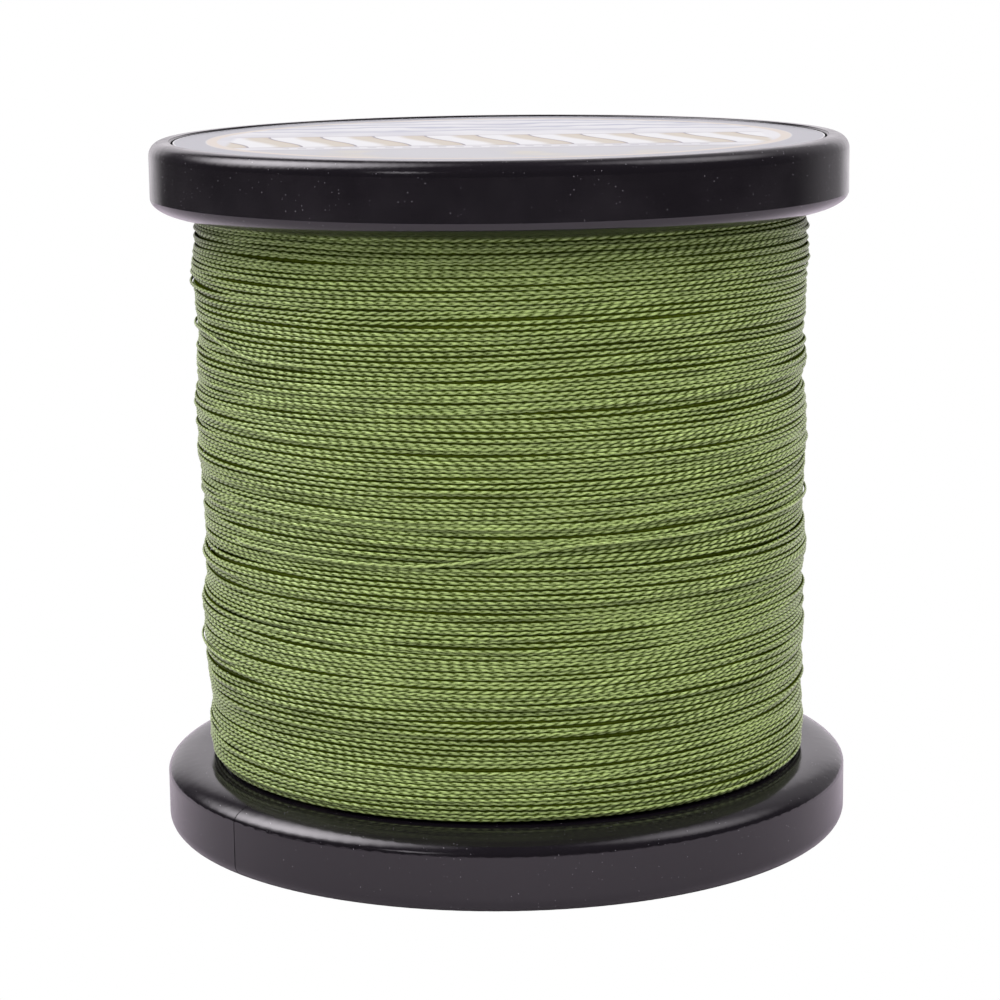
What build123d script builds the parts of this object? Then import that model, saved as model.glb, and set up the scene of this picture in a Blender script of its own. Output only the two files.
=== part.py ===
from build123d import *

import os

# A flanged delivery spool of braided fishing line, standing on its lower flange.
# Millimetres. +Z is the spool's axis, and the origin is the centre of the ring that it stands on.

# Overall spool
flange_radius = 50.0
spool_height = 100.0
flange_thickness = 10.3

# Flange moulding. A depth is measured from the flange's outer plane towards the line.
line_side_crown_width = 5.5
line_side_crown_drop = 2.4
outer_edge_width = 1.9
outer_edge_drop = 2.0
web_thickness = 2.2
cap_seat_radius = 46.85
cap_seat_depth = 2.05
seat_lip_round = 0.25
rim_bore_radius = 45.2
hub_bore_radius = 8.0
hub_wall = 2.4
hub_end_depth = 2.6
hub_reach_into_barrel = 6.0
rib_count = 8
rib_thickness = 1.6
rib_top_depth = 3.6
rib_root = 0.2
seam_width = 0.16
seam_depth = 0.08
seam_inner_end = 47.6
lower_seam_angle = 220.9
upper_seam_angle = 0.0

# Barrel, and the keyed sockets that its ends are cemented into
barrel_radius = 31.5
barrel_wall = 2.0
socket_depth = 5.4
socket_wall = 1.9
socket_clearance = 0.05
key_width = 5.8
key_height = 2.9
key_clearance = 0.1

# End caps, which press into the flanges' open faces
cap_radius = 46.65
cap_thickness = 1.6
cap_top_depth = 0.4
cap_edge_round = 0.3
cap_hole_radius = 9.0
skirt_radius = 45.1
skirt_wall = 1.6
skirt_length = 3.8
skirt_lead_in = 0.4
collar_gap = 0.6
collar_wall = 1.4
collar_length = 2.4
cap_rib_count = 12
cap_rib_height = 0.8
cap_rib_thickness = 1.2
cap_to_rib_clearance = 0.5

# Printed labels on the caps
label_radius = 46.5
label_thickness = 0.2
lower_label_hole_radius = 9.6

# Wound line, a little fuller towards the upper flange, with a soft shoulder at each end
line_inner_radius = 31.75
line_radius_low = 43.1
line_radius_middle = 43.6
line_radius_high = 43.9
line_shoulder = 0.7
line_flange_gap = 0.05

# Adhesive tapes that hold the line's two ends
tape_thickness = 0.1
tape_width = 12.0
start_tape_lift = 0.05
start_tape_arc = 40.0
start_tape_angle = 200.0
start_tape_height = 20.0
end_tape_lift = 0.15
end_tape_arc = 38.0
end_tape_angle = 90.0
end_tape_height = 50.0

web_depth = flange_thickness - web_thickness
hub_radius = hub_bore_radius + hub_wall
barrel_inner_radius = barrel_radius - barrel_wall
socket_floor_depth = flange_thickness - socket_depth
socket_outer_radius = barrel_radius + socket_clearance + socket_wall
socket_inner_radius = barrel_inner_radius - socket_clearance - socket_wall
cap_under_depth = cap_top_depth + cap_thickness
skirt_inner_radius = skirt_radius - skirt_wall
collar_inner_radius = hub_radius + collar_gap
collar_radius = collar_inner_radius + collar_wall


def ring(inner, outer, low, high):
    """A plain ring between two heights."""
    middle = Pos(0, 0, (low + high) / 2)
    return middle * Cylinder(outer, high - low) - middle * Cylinder(inner, high - low + 1)


def sector(inner, outer, low, high, angle, arc):
    """A piece of a ring, centred on an angle in degrees."""
    section = Plane.XZ * Pos((inner + outer) / 2, (low + high) / 2) * Rectangle(outer - inner, high - low)
    return Rot(0, 0, angle - arc / 2) * revolve(section, Axis.Z, revolution_arc=arc)


def spoke(inner, outer, width, low, high, angle):
    """A straight radial rib."""
    block = Box(outer - inner, width, high - low)
    return Rot(0, 0, angle) * Pos((inner + outer) / 2, 0, (low + high) / 2) * block


def spread(count):
    """Evenly spaced angles round the axis."""
    return [360 / count * step for step in range(count)]


def rim_solid():
    """The flange's rim and web as turned, rounded on its outer edge and crowned on its line side."""
    flat_end = flange_radius - outer_edge_width
    crown_start = flange_radius - line_side_crown_width
    wall_end = flange_thickness - line_side_crown_drop
    lip = (cap_seat_radius + seat_lip_round, 0)
    seat_corner = (cap_seat_radius, seat_lip_round)
    with BuildSketch(Plane.XZ) as outline:
        with BuildLine():
            Line(lip, (flat_end, 0))
            EllipticalCenterArc(
                (flat_end, outer_edge_drop),
                outer_edge_width,
                outer_edge_drop,
                start_angle=270,
                arc_size=90,
            )
            Line((flange_radius, outer_edge_drop), (flange_radius, wall_end))
            EllipticalCenterArc(
                (crown_start, wall_end),
                line_side_crown_width,
                line_side_crown_drop,
                start_angle=0,
                arc_size=90,
            )
            Polyline(
                (crown_start, flange_thickness),
                (hub_bore_radius, flange_thickness),
                (hub_bore_radius, web_depth),
                (rim_bore_radius, web_depth),
                (rim_bore_radius, cap_seat_depth),
                (cap_seat_radius, cap_seat_depth),
                seat_corner,
            )
            RadiusArc(seat_corner, lip, seat_lip_round)
        make_face()
    return revolve(outline.sketch, Axis.Z)


def rim_core():
    """The rim's outer part, smaller all round by the depth of the seam."""
    wall_end = flange_thickness - line_side_crown_drop
    flat_end = flange_radius - outer_edge_width
    crown_start = flange_radius - line_side_crown_width
    low, high = seam_depth, flange_thickness - seam_depth
    with BuildSketch(Plane.XZ) as outline:
        with BuildLine():
            Line((crown_start, low), (flat_end, low))
            EllipticalCenterArc(
                (flat_end, outer_edge_drop),
                outer_edge_width - seam_depth,
                outer_edge_drop - seam_depth,
                start_angle=270,
                arc_size=90,
            )
            Line((flange_radius - seam_depth, outer_edge_drop), (flange_radius - seam_depth, wall_end))
            EllipticalCenterArc(
                (crown_start, wall_end),
                line_side_crown_width - seam_depth,
                line_side_crown_drop - seam_depth,
                start_angle=0,
                arc_size=90,
            )
            Line((crown_start, high), (crown_start, low))
        make_face()
    return revolve(outline.sketch, Axis.Z)


def seam_grooves(angle):
    """The fine joint lines that the two mould halves leave over the rim, one on each side."""
    slot = spoke(seam_inner_end, flange_radius + 1, seam_width, -1, flange_thickness + 1, angle)
    slots = slot + Rot(0, 0, 180) * slot
    return slots - rim_core()


def flange(seam_angle):
    """One flange moulding, in the lower flange's place."""
    body = rim_solid()
    body += ring(hub_bore_radius, hub_radius, hub_end_depth, flange_thickness + hub_reach_into_barrel)
    body += ring(socket_inner_radius, socket_outer_radius, rib_top_depth, web_depth + rib_root)
    skirt_clear = skirt_inner_radius - cap_to_rib_clearance
    skirt_end = cap_under_depth + skirt_length + cap_to_rib_clearance
    collar_clear = collar_radius + cap_to_rib_clearance
    collar_end = cap_under_depth + collar_length + cap_to_rib_clearance
    low = web_depth + rib_root
    hub_root = hub_radius - rib_root
    rim_root = rim_bore_radius + rib_root
    for angle in spread(rib_count):
        body += spoke(hub_root, socket_inner_radius + rib_root, rib_thickness, collar_end, low, angle)
        body += spoke(
            collar_clear, socket_inner_radius + rib_root, rib_thickness, rib_top_depth, low, angle
        )
        body += spoke(
            socket_outer_radius - rib_root, skirt_clear, rib_thickness, rib_top_depth, low, angle
        )
        body += spoke(
            socket_outer_radius - rib_root, rim_root, rib_thickness, skirt_end, low, angle
        )
    body -= ring(
        barrel_inner_radius - socket_clearance,
        barrel_radius + socket_clearance,
        socket_floor_depth,
        flange_thickness + 1,
    )
    for angle in (90, 270):
        body += spoke(
            barrel_inner_radius - socket_clearance - rib_root,
            barrel_radius + socket_clearance + rib_root,
            key_width,
            socket_floor_depth - rib_root,
            socket_floor_depth + key_height,
            angle,
        )
    return body - seam_grooves(seam_angle)


def barrel():
    """The tube between the flanges, notched at both ends for the sockets' keys."""
    low = socket_floor_depth + socket_clearance
    high = spool_height - low
    body = ring(barrel_inner_radius, barrel_radius, low, high)
    notch_height = key_height + key_clearance
    notch_width = key_width + 2 * key_clearance
    for angle in (90, 270):
        for start in (low - 1, high - notch_height):
            body -= spoke(
                barrel_inner_radius - 1,
                barrel_radius + 1,
                notch_width,
                start,
                start + notch_height + 1,
                angle,
            )
    return body


def end_cap():
    """A disc with a skirt, a centring collar and ribs, in the lower cap's place."""
    disc = ring(cap_hole_radius, cap_radius, cap_top_depth, cap_under_depth)
    outer_edge = disc.edges().filter_by(GeomType.CIRCLE).group_by(Axis.Z)[0].sort_by(SortBy.RADIUS)[-1]
    body = fillet(outer_edge, cap_edge_round)
    skirt = ring(
        skirt_inner_radius, skirt_radius, cap_under_depth - rib_root, cap_under_depth + skirt_length
    )
    lead = skirt.edges().filter_by(GeomType.CIRCLE).group_by(Axis.Z)[-1].sort_by(SortBy.RADIUS)[-1]
    body += chamfer(lead, skirt_lead_in)
    body += ring(
        collar_inner_radius, collar_radius, cap_under_depth - rib_root, cap_under_depth + collar_length
    )
    for angle in spread(cap_rib_count):
        body += spoke(
            collar_radius - rib_root,
            skirt_inner_radius + rib_root,
            cap_rib_thickness,
            cap_under_depth - rib_root,
            cap_under_depth + cap_rib_height,
            angle,
        )
    return body


def label(hole_radius):
    """A printed disc on the lower cap. A hole radius of 0 leaves it whole."""
    low = cap_top_depth - label_thickness
    if hole_radius == 0:
        return Pos(0, 0, low + label_thickness / 2) * Cylinder(label_radius, label_thickness)
    return ring(hole_radius, label_radius, low, cap_top_depth)


def wound_line():
    """The wound line as one closed ring of its outer shape."""
    low = flange_thickness + line_flange_gap
    high = spool_height - low
    with BuildSketch(Plane.XZ) as outline:
        with BuildLine():
            ThreePointArc(
                (line_radius_low, low + line_shoulder),
                (line_radius_middle, spool_height / 2),
                (line_radius_high, high - line_shoulder),
            )
            Polyline(
                (line_radius_high, high - line_shoulder),
                (line_radius_high - line_shoulder, high),
                (line_inner_radius, high),
                (line_inner_radius, low),
                (line_radius_low - line_shoulder, low),
                (line_radius_low, low + line_shoulder),
            )
        make_face()
    return revolve(outline.sketch, Axis.Z)


def tape(radius, height, angle, arc):
    """A strip of thin adhesive tape wrapped round the axis."""
    low = height - tape_width / 2
    return sector(radius, radius + tape_thickness, low, low + tape_width, angle, arc)


def at_upper_end(body):
    """The same moulding turned over onto the other end of the spool."""
    return Pos(0, 0, spool_height) * Rot(180, 0, 0) * body


cap_moulding = end_cap()
nodes = {
    "lower_flange": flange(lower_seam_angle),
    "upper_flange": at_upper_end(flange(upper_seam_angle)),
    "barrel": barrel(),
    "lower_end_cap": cap_moulding,
    "upper_end_cap": at_upper_end(cap_moulding),
    "lower_label": label(lower_label_hole_radius),
    "upper_label": at_upper_end(label(0)),
    "wound_line": wound_line(),
    "start_tape": tape(
        barrel_radius + start_tape_lift, start_tape_height, start_tape_angle, start_tape_arc
    ),
    "end_tape": tape(
        line_radius_middle + end_tape_lift, end_tape_height, end_tape_angle, end_tape_arc
    ),
}

os.makedirs("parts", exist_ok=True)
for name, body in nodes.items():
    export_step(body, f"parts/{name}.step")
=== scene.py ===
import math

import bmesh
import bpy
import numpy as np
from mathutils import Matrix, Vector


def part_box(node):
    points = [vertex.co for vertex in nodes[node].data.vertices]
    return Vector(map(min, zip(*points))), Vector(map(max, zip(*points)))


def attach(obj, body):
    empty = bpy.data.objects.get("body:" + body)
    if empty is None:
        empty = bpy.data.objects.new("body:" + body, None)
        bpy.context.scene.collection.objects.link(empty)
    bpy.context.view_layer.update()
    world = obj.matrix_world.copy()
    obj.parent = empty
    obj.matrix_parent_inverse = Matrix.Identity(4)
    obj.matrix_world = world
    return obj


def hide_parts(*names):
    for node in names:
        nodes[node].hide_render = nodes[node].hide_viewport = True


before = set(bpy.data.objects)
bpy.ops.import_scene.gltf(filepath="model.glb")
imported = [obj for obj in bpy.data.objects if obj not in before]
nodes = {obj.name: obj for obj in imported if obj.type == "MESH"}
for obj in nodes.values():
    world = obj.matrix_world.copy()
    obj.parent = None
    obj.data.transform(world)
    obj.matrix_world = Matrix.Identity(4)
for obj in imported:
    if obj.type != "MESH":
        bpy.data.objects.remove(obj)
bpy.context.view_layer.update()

# ---------------------------------------------------------------------------------------------
# Flanges and barrel. Two equal dish mouldings and a tube, injection moulded in black ABS and
# cemented together. Their CAD shapes stay. The polish of the mould leaves them glossy, with a
# faint orange peel, a little handling haze and dust that clings to the plastic.
# ---------------------------------------------------------------------------------------------

MM = 0.001


def linear(hex_colour):
    """An sRGB hex colour as linear red, green, blue and alpha."""
    channels = [int(hex_colour[start : start + 2], 16) / 255 for start in (1, 3, 5)]
    return [c / 12.92 if c <= 0.04045 else ((c + 0.055) / 1.055) ** 2.4 for c in channels] + [1.0]


def new_material(name):
    """An empty node material and its Principled shader."""
    material = bpy.data.materials.new(name)
    material.use_nodes = True
    return material, material.node_tree.nodes["Principled BSDF"]


def add_node(material, kind, inputs, **settings):
    """Adds a node with its settings. An input is a value, or the socket that feeds it."""
    node = material.node_tree.nodes.new(kind)
    for name, value in settings.items():
        setattr(node, name, value)
    feed(material, node, inputs)
    return node


def feed(material, node, inputs):
    """Sets or links a node's inputs."""
    for socket, value in inputs.items():
        if isinstance(value, bpy.types.NodeSocket):
            material.node_tree.links.new(value, node.inputs[socket])
        else:
            node.inputs[socket].default_value = value


def paint(node_name, material):
    """Gives a CAD node this material all over."""
    mesh = nodes[node_name].data
    mesh.materials.clear()
    mesh.materials.append(material)


def moulded_plastic(name, colour, dust_colour, haze):
    """Glossy moulded ABS with a faint peel, haze in patches and dust gathered in the patches."""
    peel_size, peel_depth = 1.8 * MM, 0.02 * MM
    haze_size, haze_spread = 12 * MM, 0.1
    speck_spacing, speck_radius = 0.45 * MM, 0.115
    fewest_specks, most_specks, speck_dullness = 0.08, 0.34, 0.4
    material, shader = new_material(name)
    place = add_node(material, "ShaderNodeTexCoord", {}).outputs["Object"]
    peel = add_node(
        material, "ShaderNodeTexNoise", {"Vector": place, "Scale": 1 / peel_size, "Detail": 1.0}
    )
    patches = add_node(
        material,
        "ShaderNodeTexNoise",
        {"Vector": place, "Scale": 1 / haze_size, "Detail": 4.0, "Roughness": 0.6},
    )
    rough = add_node(
        material,
        "ShaderNodeMapRange",
        {"Value": patches.outputs["Fac"], "From Min": 0.35, "From Max": 0.7, "To Min": haze,
         "To Max": haze + haze_spread},
    )
    cells = add_node(
        material, "ShaderNodeTexVoronoi", {"Vector": place, "Scale": 1 / speck_spacing}
    )
    near = add_node(
        material, "ShaderNodeMath", {0: cells.outputs["Distance"], 1: speck_radius},
        operation="LESS_THAN",
    )
    lucky = add_node(material, "ShaderNodeSeparateColor", {"Color": cells.outputs["Color"]})
    gathered = add_node(
        material, "ShaderNodeMapRange",
        {"Value": patches.outputs["Fac"], "From Min": 0.4, "From Max": 0.65,
         "To Min": fewest_specks, "To Max": most_specks},
    )
    few = add_node(
        material, "ShaderNodeMath", {0: lucky.outputs["Red"], 1: gathered.outputs[0]},
        operation="LESS_THAN",
    )
    speck = add_node(
        material, "ShaderNodeMath", {0: near.outputs[0], 1: few.outputs[0]}, operation="MULTIPLY"
    )
    faint = add_node(
        material, "ShaderNodeMath", {0: speck.outputs[0], 1: lucky.outputs["Green"]},
        operation="MULTIPLY",
    )
    tone = add_node(
        material, "ShaderNodeMix",
        {0: faint.outputs[0], 6: linear(colour), 7: linear(dust_colour)}, data_type="RGBA",
    )
    dull = add_node(
        material, "ShaderNodeMath", {0: speck.outputs[0], 1: speck_dullness, 2: rough.outputs[0]},
        operation="MULTIPLY_ADD",
    )
    relief = add_node(
        material, "ShaderNodeBump",
        {"Height": peel.outputs["Fac"], "Strength": 0.1, "Distance": peel_depth},
    )
    feed(material, shader, {
        "Base Color": tone.outputs[2], "Roughness": dull.outputs[0],
        "Normal": relief.outputs[0], "IOR": 1.54,
    })
    return material


abs_black = moulded_plastic("abs_black_moulded", "#151217", "#A5A1A8", 0.13)
for part in ("lower_flange", "upper_flange", "barrel"):
    paint(part, abs_black)

# ---------------------------------------------------------------------------------------------
# Wound line. One length of waxed polyethylene braid, 0.52 mm wide, laid in near-level turns by a
# winding machine. Each turn is a half tube with the lobes of the braid's strands on it.
# ---------------------------------------------------------------------------------------------

strand_half_width = 0.26 * MM
strand_half_height = 0.235 * MM
turn_pitch = 0.58 * MM
lobes_per_turn = 166.6
lobe_height = 0.045 * MM
scallop = 0.16
lobe_slant = 2.1
# The wander of the turns is worked out at every third mesh step.
steps_per_turn = 1212
coarse_per_turn = 404
bands = 8
band_folds = 66

line_low, line_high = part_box("wound_line")
line_radius = line_high[0]
line_bottom, line_top = line_low[2], line_high[2]
line_room = line_top - line_bottom - 2 * strand_half_width
turns = int(line_room / turn_pitch)
chance = np.random.default_rng(7)


def blur(values, spread, step=1):
    """Gaussian blur of a sequence, spread samples wide, over samples step apart."""
    reach = int(3 * spread) + 1
    offsets = np.arange(-reach, reach + 1)
    weights = np.exp(-0.5 * (offsets / spread) ** 2)
    weights /= weights.sum()
    padded = np.pad(values, reach * step, mode="reflect")
    return sum(
        w * padded[(reach + o) * step : (reach + o) * step + len(values)]
        for w, o in zip(weights, offsets)
    )


def wander(along_degrees, across_turns):
    """Smooth unit noise along the line, alike on neighbouring turns when across_turns is large."""
    count = (turns + 1) * coarse_per_turn
    values = chance.standard_normal(count)
    values = blur(values, along_degrees / 360 * coarse_per_turn)
    if across_turns > 0:
        values = blur(values, across_turns, coarse_per_turn)
    return values / values.std()


def per_turn(values):
    """A view of a sequence along the line with one row for each turn."""
    return values.reshape(-1, coarse_per_turn)


# The turns are spread to fill the room between the flanges. The last one lies level against the
# upper flange, and the turns near either flange wander less.
position = np.arange((turns + 1) * coarse_per_turn) / coarse_per_turn
climb = np.minimum(position / (turns - 1), 1) * line_room
stray = 0.42 * MM * wander(38, 5) + 0.1 * MM * wander(24, 0.6) + 0.07 * MM * wander(7, 0.3)
calm_reach, least_stray = 2.5 * MM, 0.04
stray *= np.clip(np.minimum(climb, line_room - climb) / calm_reach, least_stray, 1)
height = line_bottom + strand_half_width + climb + stray
# One open wedge where the turns part above the strand that crosses the front.
wedge_middle, wedge_spread, wedge_fade = 31, 5, 6
wedge_height, wedge_opening, wedge_edge = 49.6 * MM, 0.3 * MM, 0.3 * MM
degrees_right = (360 * position + 90 + 180) % 360 - 180
above = (height - wedge_height) / wedge_edge
sideways = (degrees_right - wedge_middle) / wedge_spread
wedge = np.exp(-0.5 * sideways**2 - np.abs(above) / wedge_fade)
height += wedge_opening * wedge * np.tanh(above)
rows = per_turn(height)
least_gap = 0.36 * MM
for turn in range(1, len(rows)):
    rows[turn] = np.maximum(rows[turn], rows[turn - 1] + least_gap)
height = blur(rows.ravel(), 2.5)
height = np.clip(height, line_bottom + strand_half_width, line_top - strand_half_width)

# The pack's own outline: fuller at the top, lower at both ends, with rolls from turns beneath.
swell, taper, end_drop, end_reach = 0.2 * MM, 0.5 * MM, 0.7 * MM, 0.9 * MM
share = (height - line_bottom) / (line_top - line_bottom)
ends = np.minimum(share, 1 - share) * (line_top - line_bottom)
radius = line_radius + swell - taper * (1 - share)
radius -= end_drop * np.exp(-ends / end_reach)
radius += 0.2 * MM * wander(40, 2.6) + 0.07 * MM * wander(30, 0.6) + 0.05 * MM * wander(6, 0.2)
# A turn crowded by the one below rides up on it, unless that one has already ridden up.
highest_seat = 0.15 * MM
lift = np.zeros_like(per_turn(height))
rows = per_turn(height)
for turn in range(1, len(rows)):
    gap = rows[turn] - rows[turn - 1]
    ride = np.sqrt(np.clip((2 * strand_half_height) ** 2 - gap**2, 0, None))
    free = np.clip(1 - lift[turn - 1] / highest_seat, 0, 1)
    lift[turn] = ride * free
radius += blur(lift.ravel(), 5)


def fine(values):
    """A coarse sequence along the line, sampled at the mesh's steps."""
    count = turns * steps_per_turn + 1
    where = np.arange(count) * coarse_per_turn / steps_per_turn
    return np.interp(where, np.arange(len(values)), values)


def strand_points(angle, heights, radii, phase, roll):
    """Points across a half tube round each centre point, with the braid's lobes on it."""
    across = np.radians(np.array([-100, -50, 0, 50, 100]))
    crossover = 3
    seen = across[None, :] + roll[:, None]
    upper = 0.5 + 0.5 * np.tanh(crossover * np.sin(seen))
    slant = lobe_slant * seen
    lobe = upper * (2 * np.abs(np.sin(0.5 * (phase[:, None] + slant))) - 1)
    lobe += (1 - upper) * (2 * np.abs(np.sin(0.5 * (phase[:, None] - slant + math.pi))) - 1)
    out = radii[:, None] + (strand_half_height + lobe_height * lobe) * np.cos(across)
    up = heights[:, None] + strand_half_width * (1 + scallop * lobe) * np.sin(across)
    points = np.stack((out * np.cos(angle)[:, None], out * np.sin(angle)[:, None], up), axis=-1)
    return points, 0.5 + 0.5 * lobe


def grid_mesh(name, points, sheet, lay=None):
    """A mesh from a grid of points, its first axis along the piece. sheet() places its UVs."""
    count, width = points.shape[:2]
    index = np.arange(count * width).reshape(count, width)
    corners = np.stack((index[:-1, :-1], index[1:, :-1], index[1:, 1:], index[:-1, 1:]), axis=-1)
    faces = corners.reshape(-1, 4)
    mesh = bpy.data.meshes.new(name)
    mesh.vertices.add(count * width)
    mesh.vertices.foreach_set("co", points.astype(np.float32).ravel())
    mesh.loops.add(faces.size)
    mesh.loops.foreach_set("vertex_index", faces.astype(np.int32).ravel())
    mesh.polygons.add(len(faces))
    mesh.polygons.foreach_set("loop_start", np.arange(0, faces.size, 4, dtype=np.int32))
    mesh.polygons.foreach_set("use_smooth", np.ones(len(faces), dtype=bool))
    mesh.update(calc_edges=True)
    mesh.uv_layers.new(name="OFBake")
    i, j = np.meshgrid(np.arange(count - 1), np.arange(width - 1), indexing="ij")
    uv = np.stack([sheet(i, i + a, j + b) for a, b in ((0, 0), (1, 0), (1, 1), (0, 1))], axis=2)
    mesh.uv_layers["OFBake"].data.foreach_set("uv", uv.astype(np.float32).ravel())
    if lay is not None:
        mesh.attributes.new("lay", "FLOAT_VECTOR", "POINT")
        mesh.attributes["lay"].data.foreach_set("vector", lay.astype(np.float32).ravel())
    piece = bpy.data.objects.new(name, mesh)
    bpy.context.scene.collection.objects.link(piece)
    return piece


def folded(count, width, folds):
    """Lays a long thin strip out in rows on its UV square."""
    length = math.ceil((count - 1) / folds)
    side_margin, row_margin = 0.005, 0.06

    def sheet(start, i, j):
        row = start // length
        along = (i - row * length) / length
        across = row + row_margin + (1 - 2 * row_margin) * j / (width - 1)
        return np.stack((side_margin + (1 - 2 * side_margin) * along, across / folds), -1)

    return sheet


def braid_material():
    """Waxed moss-green polyethylene braid, yarns 0.09 mm apart, with painted highlight on the lobe
    crests, painted shade in the hollows between lobes and painted shade on both flanks, darkest on
    the lower one.
    """
    yarn_spacing, yarn_depth, patch_length = 0.09 * MM, 0.02 * MM, 9 * MM
    yarn_stretch, crest_gloss, crest_fuzz = 0.18, 0.55, 0.5
    material, shader = new_material("polyethylene_braid_moss")
    lay = add_node(material, "ShaderNodeAttribute", {}, attribute_name="lay")
    parts = add_node(material, "ShaderNodeSeparateXYZ", {0: lay.outputs["Vector"]})
    # Painted highlight on the lobe crests and painted shade in the hollows between them, set by the
    # lobe height stored in lay.
    crest = add_node(
        material, "ShaderNodeMapRange",
        {"Value": parts.outputs["Z"], "From Min": 0.2, "From Max": 0.92},
        interpolation_type="SMOOTHSTEP",
    )
    painted_lobe_light_and_shade = add_node(
        material, "ShaderNodeMix",
        {0: crest.outputs[0], 6: linear("#48581D"), 7: linear("#B5CD7C")}, data_type="RGBA",
    )
    # Painted shade on the strand's flanks, where neighbouring turns shade each other: from the
    # middle down over the whole lower half, and over the top edge of the upper half.
    lower_flank_painted_shade = add_node(
        material, "ShaderNodeMapRange",
        {"Value": parts.outputs["Y"], "From Min": -0.8 * strand_half_width,
         "From Max": 0.0},
        interpolation_type="SMOOTHSTEP",
    )
    upper_flank_painted_shade = add_node(
        material, "ShaderNodeMapRange",
        {"Value": parts.outputs["Y"], "From Min": 0.85 * strand_half_width,
         "From Max": 0.45 * strand_half_width},
        interpolation_type="SMOOTHSTEP",
    )
    clear_of_painted_shade = add_node(
        material, "ShaderNodeMath", {0: lower_flank_painted_shade.outputs[0], 1: upper_flank_painted_shade.outputs[0]},
        operation="MULTIPLY",
    )
    tone = add_node(
        material, "ShaderNodeMix",
        {0: clear_of_painted_shade.outputs[0], 6: linear("#43500B"), 7: painted_lobe_light_and_shade.outputs[2]}, data_type="RGBA",
    )
    patch_place = add_node(
        material, "ShaderNodeMapping",
        {"Vector": lay.outputs["Vector"], "Scale": (1 / patch_length, 1 / MM, 0.0)},
    )
    patch = add_node(
        material, "ShaderNodeTexNoise", {"Vector": patch_place.outputs[0], "Scale": 1.0}
    )
    dye = add_node(
        material, "ShaderNodeMapRange",
        {"Value": patch.outputs["Fac"], "From Min": 0.3, "From Max": 0.7, "To Min": 0.74,
         "To Max": 1.14},
    )
    dyed = add_node(
        material, "ShaderNodeVectorMath", {0: tone.outputs[2], "Scale": dye.outputs[0]},
        operation="SCALE",
    )
    yarn_place = add_node(
        material, "ShaderNodeMapping",
        {"Vector": lay.outputs["Vector"],
         "Scale": (yarn_stretch / yarn_spacing, 1 / yarn_spacing, 0.0)},
    )
    yarn = add_node(
        material, "ShaderNodeTexNoise",
        {"Vector": yarn_place.outputs[0], "Scale": 1.0, "Detail": 2.0},
    )
    yarn_tone = add_node(
        material, "ShaderNodeMapRange",
        {"Value": yarn.outputs["Fac"], "From Min": 0.3, "From Max": 0.7, "To Min": 0.68,
         "To Max": 1.3},
    )
    combed = add_node(
        material, "ShaderNodeVectorMath", {0: dyed.outputs[0], "Scale": yarn_tone.outputs[0]},
        operation="SCALE",
    )
    relief = add_node(
        material, "ShaderNodeBump",
        {"Height": yarn.outputs["Fac"], "Strength": 0.6, "Distance": yarn_depth},
    )
    raised = add_node(
        material, "ShaderNodeMath", {0: clear_of_painted_shade.outputs[0], 1: crest.outputs[0]},
        operation="MULTIPLY",
    )
    gloss = add_node(
        material, "ShaderNodeMath", {0: raised.outputs[0], 1: crest_gloss}, operation="MULTIPLY"
    )
    fuzz = add_node(
        material, "ShaderNodeMath", {0: raised.outputs[0], 1: crest_fuzz}, operation="MULTIPLY"
    )
    feed(material, shader, {
        "Base Color": combed.outputs[0], "Roughness": 0.36, "IOR": 1.5, "Normal": relief.outputs[0],
        "Specular IOR Level": gloss.outputs[0], "Sheen Weight": fuzz.outputs[0],
        "Sheen Roughness": 0.4,
    })
    return material


braid = braid_material()
turn_place = fine(position)
turn_angle = 2 * math.pi * turn_place
turn_height = fine(height)
turn_radius = fine(radius) - strand_half_height
turn_phase = 2 * math.pi * lobes_per_turn * turn_place + 1.5 * fine(wander(8, 0))
turn_roll = 0.45 * fine(wander(25, 0.8)) + 0.75 * np.sin(3 * turn_angle + math.radians(75))
turn_points, turn_crests = strand_points(
    turn_angle, turn_height, turn_radius, turn_phase, turn_roll
)
turn_length = 2 * math.pi * line_radius
across_strand = np.linspace(-1, 1, 5) * strand_half_width


def line_piece(name, points, crests, along, folds):
    """One stretch of the line as a finished piece."""
    lay = np.stack(
        (np.broadcast_to(along[:, None], crests.shape),
         np.broadcast_to(across_strand[None, :], crests.shape), crests), axis=-1)
    piece = grid_mesh(name, points, folded(len(points), 5, folds), lay)
    piece.data.materials.append(braid)
    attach(piece, "spool")
    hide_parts("wound_line")
    return piece


for band in range(bands):
    first = band * turns // bands * steps_per_turn
    last = (band + 1) * turns // bands * steps_per_turn + 1
    line_piece(
        f"line_turns_{band + 1}", turn_points[first:last], turn_crests[first:last],
        turn_place[first:last] * turn_length, band_folds,
    )

# The layer beneath shows in the gaps as the rounded tops of turns a little deeper in the pack.
# Its lay values put it almost wholly in the braid's painted shade, with only a faint mid-tone
# ridge.
beneath_drop = 0.3 * MM
beneath_depth = 0.3 * MM
beneath_step = 4
beneath_folds = 110
beneath_painted_shade, beneath_crest = -0.62, 0.45
lower_turn = slice(0, (turns - 1) * steps_per_turn + 1, beneath_step)
upper_turn = slice(steps_per_turn, turns * steps_per_turn + 1, beneath_step)
valley = np.minimum(turn_radius[lower_turn], turn_radius[upper_turn]) - beneath_depth
ridge = valley + beneath_drop
roof = np.stack(
    (np.stack((valley, turn_height[lower_turn]), -1),
     np.stack((ridge, 0.5 * (turn_height[lower_turn] + turn_height[upper_turn])), -1),
     np.stack((valley, turn_height[upper_turn]), -1)), axis=1)
roof_angle = turn_angle[lower_turn][:, None]
roof_points = np.stack(
    (roof[..., 0] * np.cos(roof_angle), roof[..., 0] * np.sin(roof_angle), roof[..., 1]), axis=-1)
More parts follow.
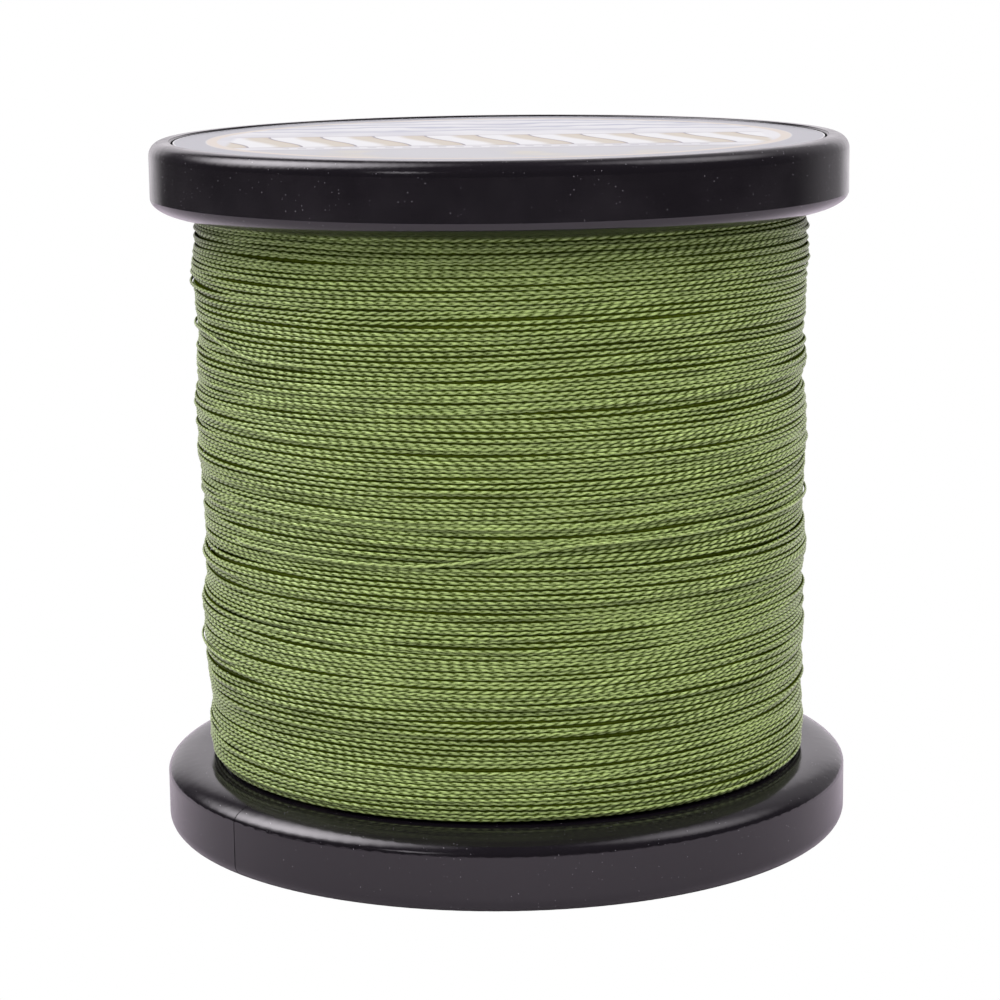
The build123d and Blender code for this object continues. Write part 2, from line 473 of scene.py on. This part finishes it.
roof_lay = np.stack(
    (np.broadcast_to(turn_place[lower_turn][:, None] * turn_length, roof.shape[:2]),
     np.broadcast_to(np.array([-1, beneath_painted_shade, -1]) * strand_half_width, roof.shape[:2]),
     np.broadcast_to(np.array([0.0, beneath_crest, 0.0]), roof.shape[:2])), axis=-1)
roof_sheet = folded(len(roof_points), 3, beneath_folds)
beneath = grid_mesh("line_layer_beneath", roof_points, roof_sheet, roof_lay)
beneath.data.materials.append(braid)
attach(beneath, "spool")
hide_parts("wound_line")

# A few turns cross over their neighbours where the winding machine skipped a track. They ride on
# the crests, and their ends dip under other turns. Angles are degrees to the right of the front.


def smooth_step(values):
    """0 below 0, 1 above 1, and a smooth rise between."""
    clipped = np.clip(values, 0, 1)
    return clipped * clipped * (3 - 2 * clipped)


def around(degrees):
    """The winding angle of a direction given in degrees to the right of the front."""
    return np.radians(degrees - 90) % (2 * math.pi)


def crest_radius(angle, heights):
    """How far out the turns' crests reach at each angle and height."""
    step = np.rint(angle / (2 * math.pi) * steps_per_turn).astype(int) % steps_per_turn
    track = step[None, :] + np.arange(turns)[:, None] * steps_per_turn
    nearby = 1.3
    off = (turn_height[track] - heights[None, :]) / strand_half_width
    reach = turn_radius[track] + strand_half_height * np.sqrt(np.clip(1 - off**2, 0, None))
    return np.where(np.abs(off) < nearby, reach, 0).max(axis=0)


def riding_radius(angle, heights):
    """The centre radius of a strand pulled tight over the turns' crests."""
    beds = [crest_radius(angle, heights + k * 0.5 * strand_half_width) for k in (-1, 0, 1)]
    bed = np.max(beds, axis=0)
    window, slack = 24, 0.35
    tight = np.array([bed[max(0, k - window) : k + window].max() for k in range(len(bed))])
    return blur(slack * bed + (1 - slack) * tight, 12) + strand_half_height


def crossing_strand(name, start, end, low, high, middle, spread, dips=(True, True)):
    """A turn that climbs from one track to another round a middle angle."""
    degrees = np.linspace(start, end, int((end - start) / 360 * steps_per_turn) + 1)
    angle = around(degrees)
    heights = low + (high - low) * smooth_step((degrees - middle) / (2 * spread) + 0.5)
    radii = riding_radius(angle, heights)
    dip_degrees, dip_depth, crossing_painted_highlight, folds = 9.0, 0.75 * MM, 0.2, 8
    if dips[0]:
        radii -= dip_depth * (1 - smooth_step((degrees - start) / dip_degrees))
    if dips[1]:
        radii -= dip_depth * (1 - smooth_step((end - degrees) / dip_degrees))
    along = np.radians(degrees) * line_radius
    phase = 2 * math.pi * lobes_per_turn * np.radians(degrees) / (2 * math.pi)
    roll = 0.5 * np.sin(along / (17 * MM))
    points, crests = strand_points(angle, heights, radii, phase, roll)
    # Crossing strands and the free end get paler crests all along, a painted highlight for the
    # light they catch riding high on the pack.
    line_piece(name, points, crossing_painted_highlight + (1 - crossing_painted_highlight) * crests, along, folds)
    return degrees, heights, radii


# Each has its start and end, its first and last height, and the middle and spread of its climb.
crossings = (
    ("line_crossing_front", -62, 104, 45.9 * MM, 48.8 * MM, -1, 18),
    ("line_crossing_right", 88, 176, 67.0 * MM, 70.6 * MM, 128, 15),
    ("line_crossing_back", 196, 305, 24.4 * MM, 28.2 * MM, 250, 18),
    ("line_crossing_left", 262, 330, 74.2 * MM, 72.0 * MM, 300, 12),
)
for crossing in crossings:
    crossing_strand(*crossing)
# The line's free end runs under the end tape.
tail_height = 50.3 * MM
tail_end = 206.0
tail = crossing_strand(
    "line_free_end", 122, tail_end, 48.9 * MM, tail_height, 142, 12, (True, False)
)

# ---------------------------------------------------------------------------------------------
# End tape. A strip of creped paper tape on the back of the pack that holds the line's free end.
# It is pressed down over the turns, so they show through, and its ends are torn on a blade. The
# start tape on the barrel is of the same paper.
# ---------------------------------------------------------------------------------------------

tape_low, tape_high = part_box("end_tape")
tape_half_arc = math.degrees(math.asin(tape_high[0] / line_radius))
tape_columns, tape_rows = 150, 61
tape_thickness, edge_inset, tape_lift = 0.1 * MM, 0.2 * MM, 0.03 * MM
tooth_depth, tooth_pitch = 0.35 * MM, 0.9 * MM
degrees = np.linspace(180 - tape_half_arc, 180 + tape_half_arc, tape_columns)
levels = np.linspace(tape_low[2] + edge_inset, tape_high[2] - edge_inset, tape_rows)
cover = np.zeros((tape_columns, tape_rows))
for row, level in enumerate(levels):
    bed = crest_radius(around(degrees), np.full(tape_columns, level))
    off = np.interp(degrees, tail[0], tail[1]) - level
    over = np.interp(degrees, tail[0], tail[2])
    arch = over + strand_half_height * np.sqrt(np.clip(1 - (off / strand_half_width) ** 2, 0, 1))
    near = np.abs(off) < strand_half_width
    cover[:, row] = np.where(near, np.maximum(bed, arch), bed)
bridged = np.array([[cover[i, max(0, j - 2) : j + 3].max() for j in range(tape_rows)]
                    for i in range(tape_columns)])
cover = np.array([blur(line, 1.2) for line in bridged]) + tape_lift
cover = np.array([blur(line, 1.5) for line in cover.T]).T
tooth = tooth_depth * np.abs((levels / tooth_pitch) % 2 - 1)
turned = np.radians(degrees - 90)[:, None] * np.ones(tape_rows)
edge_share = np.linspace(-1, 1, tape_columns)[:, None]
turned += edge_share**9 * tooth[None, :] / line_radius
tape_points = np.stack(
    (cover * np.cos(turned), cover * np.sin(turned), np.broadcast_to(levels, cover.shape)), -1)


def whole_sheet(count, width):
    """Spreads a grid over its whole UV square."""
    margin, spread = 0.02, 0.96

    def sheet(start, i, j):
        return np.stack((margin + spread * i / (count - 1), margin + spread * j / (width - 1)), -1)

    return sheet


def crepe_material():
    """Creped masking paper: cream, matt, with fine wrinkles 0.5 mm apart across the strip."""
    wrinkle_spacing, wrinkle_depth, blotch_size = 0.5 * MM, 0.06 * MM, 3 * MM
    material, shader = new_material("creped_paper_cream")
    place = add_node(material, "ShaderNodeTexCoord", {}).outputs["Object"]
    wrinkle_place = add_node(
        material, "ShaderNodeMapping",
        {"Vector": place,
         "Scale": (1 / wrinkle_spacing, 1 / wrinkle_spacing, 0.2 / wrinkle_spacing)},
    )
    wrinkles = add_node(
        material, "ShaderNodeTexNoise",
        {"Vector": wrinkle_place.outputs[0], "Scale": 1.0, "Detail": 3.0},
    )
    blotch = add_node(
        material, "ShaderNodeTexNoise", {"Vector": place, "Scale": 1 / blotch_size, "Detail": 2.0}
    )
    tone = add_node(
        material, "ShaderNodeMix",
        {0: blotch.outputs["Fac"], 6: linear("#D8C79C"), 7: linear("#E8DCB9")}, data_type="RGBA",
    )
    relief = add_node(
        material, "ShaderNodeBump",
        {"Height": wrinkles.outputs["Fac"], "Strength": 0.8, "Distance": wrinkle_depth},
    )
    feed(material, shader, {
        "Base Color": tone.outputs[2], "Roughness": 0.62, "Normal": relief.outputs[0],
    })
    return material


crepe = crepe_material()
end_tape = grid_mesh("free_end_tape", tape_points, whole_sheet(tape_columns, tape_rows))
end_tape.data.materials.append(crepe)
thicken = end_tape.modifiers.new("paper", "SOLIDIFY")
thicken.thickness, thicken.offset = tape_thickness, 1.0
bpy.context.view_layer.objects.active = end_tape
bpy.ops.object.modifier_apply(modifier=thicken.name)
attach(end_tape, "spool")
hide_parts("end_tape")
paint("start_tape", crepe)

# ---------------------------------------------------------------------------------------------
# End caps. Pressed-in discs of the same ABS, a shade duller than the flanges, with ribs, a
# centring collar and a skirt on the inside.
# ---------------------------------------------------------------------------------------------

cap_black = moulded_plastic("abs_black_cap", "#161418", "#A5A1A8", 0.2)
for part in ("lower_end_cap", "upper_end_cap"):
    paint(part, cap_black)

# ---------------------------------------------------------------------------------------------
# Labels. Printed discs of laminated paper stuck on the caps. The upper one is whole, and the
# lower one has a hole for the spindle. The print is a plain rope and water pattern.
# ---------------------------------------------------------------------------------------------


def label_disc(name, low, high, hole_radius, nick_angle):
    """A thin disc between two corners, in rings, with a small tear in its edge."""
    ring_width, ring_count, edge_ring = 3.0 * MM, 12, 0.8 * MM
    nick_depth, nick_half_angle, wavy = 0.7 * MM, 1.5, 0.035 * MM
    radius, thickness = high[0], high[2] - low[2]
    bpy.ops.object.select_all(action="DESELECT")
    bpy.ops.mesh.primitive_circle_add(
        vertices=288, radius=radius, fill_type="NGON", location=(0, 0, high[2])
    )
    disc = bpy.context.object
    disc.name = name
    bpy.ops.object.transform_apply(location=True, rotation=True, scale=True)
    bpy.ops.object.mode_set(mode="EDIT")
    bpy.ops.mesh.select_mode(type="FACE")
    bpy.ops.mesh.select_all(action="SELECT")
    bpy.ops.mesh.inset(thickness=edge_ring, use_boundary=True)
    for _ in range(ring_count):
        bpy.ops.mesh.inset(thickness=ring_width, use_boundary=True)
    sheet = bmesh.from_edit_mesh(disc.data)
    for face in sheet.faces:
        face.select = len(face.verts) > 4
    bmesh.update_edit_mesh(disc.data)
    rest = radius - edge_ring - ring_count * ring_width
    if hole_radius > 0:
        bpy.ops.mesh.inset(thickness=rest - hole_radius, use_boundary=True)
        bpy.ops.mesh.delete(type="FACE")
    else:
        bpy.ops.mesh.poke()
    bpy.ops.object.mode_set(mode="OBJECT")
    for vertex in disc.data.vertices:
        x, y, _ = vertex.co
        angle = math.atan2(y, x)
        swell = math.sin(3 * angle + 0.7) * math.sin(5 * angle) * (math.hypot(x, y) / radius) ** 6
        vertex.co.z -= wavy * (1 + swell)
        gap = abs((math.degrees(angle) - nick_angle + 180) % 360 - 180)
        if math.hypot(x, y) > radius - 0.1 * MM and gap < nick_half_angle:
            vertex.co.x *= 1 - nick_depth / radius * (1 - gap / nick_half_angle)
            vertex.co.y *= 1 - nick_depth / radius * (1 - gap / nick_half_angle)
    board = disc.modifiers.new("board", "SOLIDIFY")
    board.thickness, board.offset = thickness - 2 * wavy, -1.0
    bpy.ops.object.modifier_apply(modifier=board.name)
    return disc


def label_print():
    """Gloss-laminated offset print: pale grey paper, tan rope, blue-grey water, cut white edge."""
    rope_pitch, rope_half, rope_centre, arm_half = 7.5 * MM, 11 * MM, -6 * MM, 38 * MM
    wave_pitch, wave_bend, cloud_size, water_edge = 7 * MM, 16 * MM, 16 * MM, -21.75 * MM
    ring_middle, ring_half, cut_radius = 41 * MM, 0.9 * MM, 46.25 * MM
    tick_pitch, tick_reach, tick_low, tick_high = 2.4 * MM, 29 * MM, -19.4 * MM, -18.2 * MM
    fibre_size, fibre_depth = 0.4 * MM, 0.02 * MM
    material, shader = new_material("laminated_label_print")

    def math_node(operation, first, second=0.0, third=0.0):
        return add_node(
            material, "ShaderNodeMath", {0: first, 1: second, 2: third}, operation=operation
        ).outputs[0]

    def between(value, low, high):
        return add_node(
            material, "ShaderNodeMapRange", {"Value": value, "From Min": low, "From Max": high},
            interpolation_type="SMOOTHSTEP",
        ).outputs[0]

    def inked(under, share, colour):
        return add_node(
            material, "ShaderNodeMix", {0: share, 6: under, 7: linear(colour)}, data_type="RGBA"
        ).outputs[2]

    def strip(low, high, soft):
        return math_node("MULTIPLY", between(back, low - soft, low + soft),
                         between(back, high + soft, high - soft))

    place = add_node(material, "ShaderNodeTexCoord", {}).outputs["Object"]
    split = add_node(material, "ShaderNodeSeparateXYZ", {0: place})
    across, back = split.outputs["X"], split.outputs["Y"]
    flat = add_node(
        material, "ShaderNodeVectorMath", {0: place, 1: (1.0, 1.0, 0.0)}, operation="MULTIPLY"
    ).outputs[0]
    from_middle = add_node(
        material, "ShaderNodeVectorMath", {0: flat}, operation="LENGTH"
    ).outputs["Value"]
    cloud = add_node(
        material, "ShaderNodeTexNoise", {"Vector": flat, "Scale": 1 / cloud_size, "Detail": 3.0}
    ).outputs["Fac"]
    paper = inked(linear("#B3B6B6"), between(cloud, 0.4, 0.66), "#A1A4A8")

    # Water: ripples behind the rope, drawn by bending straight bands, and a sandy wash before it.
    bend = math_node("MULTIPLY", cloud, wave_bend)
    level = math_node("ADD", back, bend)
    ripple = math_node("SINE", math_node("MULTIPLY", level, 2 * math.pi / wave_pitch))
    behind = between(back, rope_centre + rope_half + 3 * MM, rope_centre + rope_half + 12 * MM)
    paper = inked(paper, math_node("MULTIPLY", between(ripple, 0.1, 0.9), behind), "#848B98")
    before = between(back, water_edge + 0.75 * MM, water_edge - 0.75 * MM)
    paper = inked(paper, math_node("MULTIPLY", before, 0.75), "#86898B")
    sand = math_node("MULTIPLY", before, between(cloud, 0.48, 0.62))
    paper = inked(paper, math_node("MULTIPLY", sand, 0.7), "#A4A08B")
    shore = strip(water_edge - 0.45 * MM, water_edge + 0.75 * MM, 0.4 * MM)
    paper = inked(paper, math_node("MULTIPLY", shore, 0.7), "#74747B")

    # Rope: slanted strands that bulge in the middle, tan in their hollows and white on top.
    rise = math_node("DIVIDE", math_node("SUBTRACT", back, rope_centre), rope_half)
    lean = math_node("SINE", math_node("MULTIPLY", rise, math.pi / 2))
    along = math_node("ADD", math_node("DIVIDE", across, rope_pitch),
                      math_node("MULTIPLY", lean, 0.4))
    turn = math_node("FRACT", math_node("ADD", along, 100.0))
    girth = math_node("SUBTRACT", 1.0, math_node("ABSOLUTE", rise))
    sideways = math_node("ABSOLUTE", across)
    arm_end = between(sideways, arm_half + 0.5 * MM, arm_half - 0.5 * MM)
    rope = math_node("MULTIPLY", between(girth, 0.0, 0.06), arm_end)
    rope_tone = inked(linear("#BABEBD"), between(turn, 0.38, 0.62), "#9D9682")
    rope_tone = inked(rope_tone, between(turn, 0.8, 0.9), "#988F78")
    rope_tone = inked(rope_tone, between(turn, 0.93, 0.97), "#59565F")
    rope_tone = inked(rope_tone, between(girth, 0.13, 0.03), "#6A666F")
    paper = add_node(
        material, "ShaderNodeMix", {0: rope, 6: paper, 7: rope_tone}, data_type="RGBA"
    ).outputs[2]

    # A row of short ticks under the rope, a tan ring and a grey border.
    tick_row = strip(tick_low, tick_high, 0.2 * MM)
    tick = math_node("FRACT", math_node("ADD", math_node("DIVIDE", across, tick_pitch), 100.0))
    ticks = math_node("MULTIPLY", tick_row, between(tick, 0.45, 0.55))
    ticks = math_node("MULTIPLY", ticks, between(sideways, tick_reach + 1 * MM, tick_reach))
    paper = inked(paper, math_node("MULTIPLY", ticks, 0.6), "#626168")
    to_ring = math_node("ABSOLUTE", math_node("SUBTRACT", from_middle, ring_middle))
    paper = inked(paper, between(to_ring, ring_half, ring_half - 0.3 * MM), "#ABA293")
    border = between(from_middle, ring_middle + 0.7 * MM, ring_middle + 1.0 * MM)
    paper = inked(paper, border, "#808387")
    cut_edge = between(from_middle, cut_radius, cut_radius + 0.15 * MM)
    paper = inked(paper, cut_edge, "#BDC0BF")

    fibre = add_node(
        material, "ShaderNodeTexNoise", {"Vector": place, "Scale": 1 / fibre_size, "Detail": 2.0}
    )
    relief = add_node(
        material, "ShaderNodeBump",
        {"Height": fibre.outputs["Fac"], "Strength": 0.12, "Distance": fibre_depth},
    )
    feed(material, shader, {
        "Base Color": paper, "Roughness": 0.42, "IOR": 1.49, "Normal": relief.outputs[0],
        "Coat Weight": 0.3, "Coat Roughness": 0.12,
    })
    return material


laminate = label_print()
spindle_hole_radius = 9.6 * MM
label_cuts = (
    ("upper_label", "upper_cover", 0.0, -146.0),
    ("lower_label", "lower_cover", spindle_hole_radius, 40.0),
)
for part, body, hole_radius, nick_angle in label_cuts:
    low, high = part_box(part)
    disc = label_disc(f"{part}_print", low, high, hole_radius, nick_angle)
    disc.data.materials.append(laminate)
    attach(disc, body)
    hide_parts(part)

# ---------------------------------------------------------------------------------------------
# Floor, light and camera. A pale round table that shows only in reflections, large soft lamps on
# both sides, in front and overhead, and a camera a little above the spool, looking down on its
# label at a low angle.
# ---------------------------------------------------------------------------------------------

bpy.ops.object.select_all(action="DESELECT")
floor_radius = 0.65
bpy.ops.mesh.primitive_circle_add(
    vertices=96, radius=floor_radius, fill_type="NGON", location=(0, 0, 0)
)
floor = bpy.context.object
floor.name = "floor"
floor_paint, floor_shader = new_material("matt_white_table")
feed(floor_paint, floor_shader, {
    "Base Color": linear("#D9D1DA"), "Roughness": 0.9, "Specular IOR Level": 0.0,
})
floor.data.materials.append(floor_paint)
# Out of the camera's view, so that the lower cap stays in sight when it is drawn out.
floor.visible_camera = False
floor.visible_diffuse = False

world = bpy.data.worlds.new("studio")
bpy.context.scene.world = world
world.use_nodes = True
backing = world.node_tree.nodes["Background"]


def add_world_node(kind, inputs, **settings):
    """add_node for the world's own tree."""
    return add_node(world, kind, inputs, **settings)


# Mirror reflections see a bright backdrop, a softer wall on the right, a dark near side and three
# soft round lights.
way = add_world_node("ShaderNodeTexCoord", {}).outputs["Generated"]
ways = add_world_node("ShaderNodeSeparateXYZ", {0: way})
backdrop = add_world_node(
    "ShaderNodeMapRange",
    {"Value": ways.outputs["Y"], "From Min": 0.78, "From Max": 0.92, "To Min": 0.08, "To Max": 1.0},
    interpolation_type="SMOOTHSTEP",
)
wall = add_world_node(
    "ShaderNodeMapRange",
    {"Value": ways.outputs["Y"], "From Min": 0.2, "From Max": 0.75, "To Min": 0.02, "To Max": 0.4},
    interpolation_type="SMOOTHSTEP",
)
right = add_world_node(
    "ShaderNodeMath", {0: ways.outputs["X"], 1: 0.0}, operation="GREATER_THAN"
)
right_wall = add_world_node(
    "ShaderNodeMath", {0: wall.outputs[0], 1: right.outputs[0]}, operation="MULTIPLY"
)
walls = add_world_node(
    "ShaderNodeMath", {0: backdrop.outputs[0], 1: right_wall.outputs[0]}, operation="MAXIMUM"
)


def softbox(direction, reach, brightness, before):
    """Adds a soft round light to the reflections, fading out where the cosine falls to reach."""
    falloff = 2.2
    cosine = add_world_node(
        "ShaderNodeVectorMath", {0: way, 1: Vector(direction).normalized()},
        operation="DOT_PRODUCT",
    )
    inside = add_world_node(
        "ShaderNodeMapRange", {"Value": cosine.outputs["Value"], "From Min": reach, "From Max": 1.0}
    )
    fade = add_world_node("ShaderNodeMath", {0: inside.outputs[0], 1: falloff}, operation="POWER")
    light = add_world_node(
        "ShaderNodeMath", {0: fade.outputs[0], 1: brightness, 2: before}, operation="MULTIPLY_ADD"
    )
    return light.outputs[0]


mirrored = softbox((-0.62, 0.2, 0.76), 0.8, 8.5, walls.outputs[0])
mirrored = softbox((0.55, 0.15, 0.82), 0.88, 2.4, mirrored)
mirrored = softbox((-0.48, -0.72, 0.5), 0.985, 5.0, mirrored)
ray = add_world_node("ShaderNodeLightPath", {})
fill = add_world_node(
    "ShaderNodeMapRange",
    {"Value": ways.outputs["Z"], "From Min": -0.3, "From Max": 0.0, "To Min": 0.75, "To Max": 0.35},
)
room = add_world_node(
    "ShaderNodeMix", {0: ray.outputs["Is Glossy Ray"], 2: fill.outputs[0], 3: mirrored}
)
strength = add_world_node(
    "ShaderNodeMix", {0: ray.outputs["Is Camera Ray"], 2: room.outputs[0], 3: 1.0}
)
tint = add_world_node(
    "ShaderNodeMix",
    {0: ray.outputs["Is Camera Ray"], 6: (1.0, 0.95, 1.0, 1), 7: (1, 1, 1, 1)}, data_type="RGBA",
)
feed(world, backing, {"Color": tint.outputs[2], "Strength": strength.outputs[0]})


def soft_lamp(name, place, width, length, power):
    """A rectangular soft lamp that points at the spool and is hidden in reflections."""
    data = bpy.data.lights.new(name, "AREA")
    data.shape = "RECTANGLE"
    data.size, data.size_y = width, length
    data.energy = power
    data.color = (1.0, 0.96, 1.0)
    lamp = bpy.data.objects.new(name, data)
    bpy.context.scene.collection.objects.link(lamp)
    lamp.location = place
    spool_middle = Vector((0, 0, 0.05))
    aim = spool_middle - Vector(place)
    lamp.rotation_euler = aim.to_track_quat("-Z", "Y").to_euler()
    lamp.visible_glossy = False


soft_lamp("left_lamp", (-0.65, 0.0, 0.75), 1.0, 0.4, 4.4)
soft_lamp("right_lamp", (0.65, 0.05, 0.75), 1.0, 0.4, 4.1)
soft_lamp("front_fill", (0.0, -0.8, 0.85), 0.8, 0.5, 6.6)
soft_lamp("top_fill", (0.0, 0.1, 1.3), 1.4, 1.2, 7.6)

camera_pitch, camera_roll = 10.84, -0.69
camera_data = bpy.data.cameras.new("camera")
camera_data.sensor_width = 36
camera_data.lens = 106.95
camera_data.shift_x = -0.0031
camera = bpy.data.objects.new("camera", camera_data)
bpy.context.scene.collection.objects.link(camera)
camera.location = (0, -0.42814, 0.12872)
tilt = Matrix.Rotation(math.radians(90 - camera_pitch), 3, "X")
lean = Matrix.Rotation(math.radians(camera_roll), 3, "Z")
camera.rotation_euler = (tilt @ lean).to_euler()
bpy.context.scene.camera = camera
bpy.context.scene.view_settings.view_transform = "Standard"
